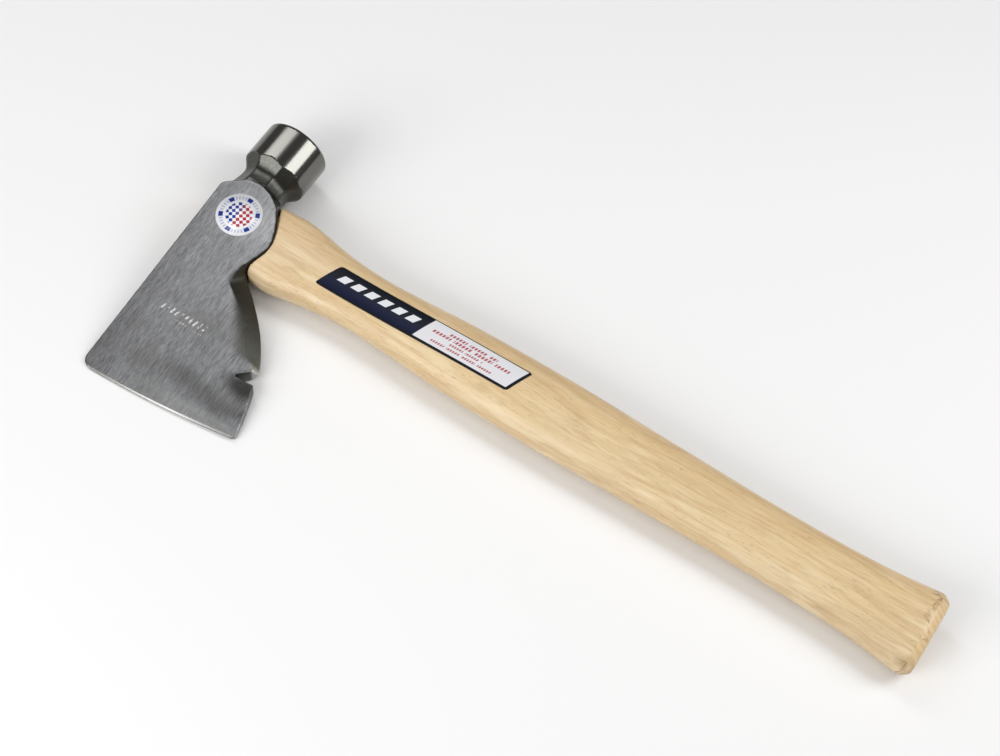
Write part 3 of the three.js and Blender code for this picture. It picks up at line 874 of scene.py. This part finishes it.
STICKER_X = 3.9 * MM
STICKER_Y = 1.1 * MM
STICKER_RADIUS = 12.7 * MM
STICKER_WHITE = (0.80, 0.81, 0.84)
STICKER_BLUE = (0.018, 0.035, 0.27)
STICKER_RED = (0.42, 0.020, 0.035)
STICKER_PALE = (0.10, 0.16, 0.45)
SHORT_DASHES = (9.1, 10.9)             # radii and pitches of the print, in millimetres
LONG_DASHES = (8.8, 11.2)
DISC_RADIUS = 7.4
CHECK_PITCH = 3.7
CHECK_LEAN = (0.80, 0.60)
RED_FROM = (-0.75, -0.65)


def sticker_shape():
    bm = bmesh.new()
    bmesh.ops.create_circle(bm, cap_ends=True, segments=96, radius=STICKER_RADIUS)
    bmesh.ops.translate(bm, verts=bm.verts, vec=(STICKER_X, STICKER_Y, 0))
    return laid_film(bm, head_skin)


def sticker_material():
    material, tree, shader = new_material("sticker_print")
    x, y, _ = split(tree, tool_space(tree, 1 / MM))
    right = minus(tree, x, STICKER_X / MM)
    up = minus(tree, y, STICKER_Y / MM)
    radius = math_node(tree, "SQRT", plus(tree, times(tree, right, right), times(tree, up, up)))
    angle = math_node(tree, "ARCTAN2", up, right)
    short = times(tree, between(tree, radius, *SHORT_DASHES), dashes(tree, angle, math.tau / 36, 0.55))
    colour = mix_colour(tree, times(tree, short, 0.45), STICKER_WHITE, STICKER_PALE)
    long = times(tree, between(tree, radius, *LONG_DASHES), dashes(tree, angle, math.tau / 6, 0.28, 0.35))
    colour = mix_colour(tree, long, colour, STICKER_BLUE)
    across = plus(tree, times(tree, right, CHECK_LEAN[0]), times(tree, up, CHECK_LEAN[1]))
    along = minus(tree, times(tree, up, CHECK_LEAN[0]), times(tree, right, CHECK_LEAN[1]))
    check = minus(tree, dashes(tree, across, CHECK_PITCH, 0.5), dashes(tree, along, CHECK_PITCH, 0.5))
    check = times(tree, math_node(tree, "ABSOLUTE", check), between(tree, radius, -1.0, DISC_RADIUS))
    ink = mix_colour(tree, ramp(tree, right, *RED_FROM, smooth=False), STICKER_BLUE, STICKER_RED)
    feed(tree, mix_colour(tree, check, colour, ink), shader.inputs["Base Color"])
    shader.inputs["Roughness"].default_value = 0.30
    ripple = grain(tree, tool_space(tree), 130, 2, 0.5)
    feed(tree, bump(tree, ripple, 0.12, 0.2 * MM), shader.inputs["Normal"])
    return material


add_piece("round_sticker", sticker_shape(), ["head_sticker"], sticker_material())

# ---- Bench, light and camera ------------------------------------------------------------------------
# A pale bench top, two strip boxes and a fainter wide one that draw the bright bands along the poll, a box
# towards the blade that lights the neck, and a soft light from above.

BENCH_SIZE = 6
BENCH_PALE = (0.90, 0.90, 0.90, 1)
STUDIO_WHITE = (1, 1, 1, 1)
CAMERA_PLACE = Vector((0.39844, -0.46262, 0.97898))    # in the tool's axes
CAMERA_AIM = Vector((0.17058, 0.00280, 0.0))
CAMERA_UP = Vector((-0.4997, 0.7314, 0.4640))

bpy.ops.mesh.primitive_plane_add(size=BENCH_SIZE)
bench = bpy.context.object
bench.name = "bench_top"
bench_paint, _, bench_shader = new_material("pale_bench")
bench_shader.inputs["Base Color"].default_value = BENCH_PALE
bench_shader.inputs["Roughness"].default_value = 0.8
bench.data.materials.append(bench_paint)


def soft_box(name, toward, reach, size, radiance, glossy=True):
    """A soft box that looks at the head from a direction in the tool's axes, long side along the poll."""
    light = bpy.data.lights.new(name, "AREA")
    light.shape = "RECTANGLE"
    light.size, light.size_y = size
    light.energy = radiance * math.pi * size[0] * size[1]
    box = bpy.data.objects.new(name, light)
    bpy.context.scene.collection.objects.link(box)
    away = Vector(toward).normalized()
    across = Vector((0, 1, 0)).cross(away).normalized()
    aim = Matrix((across, away.cross(across), away)).transposed().to_4x4()
    box.matrix_world = TOOL @ Matrix.Translation(away * reach) @ aim
    box.visible_glossy = glossy


soft_box("strip_right", (0.688, 0.42, 0.592), 1.3, (0.76, 0.45), 5.6)
soft_box("strip_left", (-0.50, 0.42, 0.757), 1.3, (0.90, 0.27), 2.9)
soft_box("strip_left_glow", (-0.40, 0.42, 0.81), 1.35, (0.90, 0.56), 0.8)
soft_box("blade_box", (-0.20, -0.79, 0.58), 1.3, (0.9, 0.6), 5.8)
soft_box("overhead", (0.1, -0.35, 1.0), 1.6, (1.6, 1.6), 0.95, glossy=False)
world = bpy.data.worlds.new("studio")
world.use_nodes = True
background = world.node_tree.nodes["Background"]
background.inputs["Color"].default_value = STUDIO_WHITE
background.inputs["Strength"].default_value = 0.2
bpy.context.scene.world = world

camera_data = bpy.data.cameras.new("camera")
camera_data.sensor_width = 36
camera_data.lens = 75.59
camera = bpy.data.objects.new("camera", camera_data)
bpy.context.scene.collection.objects.link(camera)
back = (CAMERA_PLACE - CAMERA_AIM).normalized()
side = CAMERA_UP.cross(back).normalized()
upright = Matrix((side, back.cross(side), back)).transposed()
camera.matrix_world = TOOL @ Matrix.Translation(CAMERA_PLACE) @ upright.to_4x4()
bpy.context.scene.camera = camera
bpy.context.scene.view_settings.view_transform = "Standard"
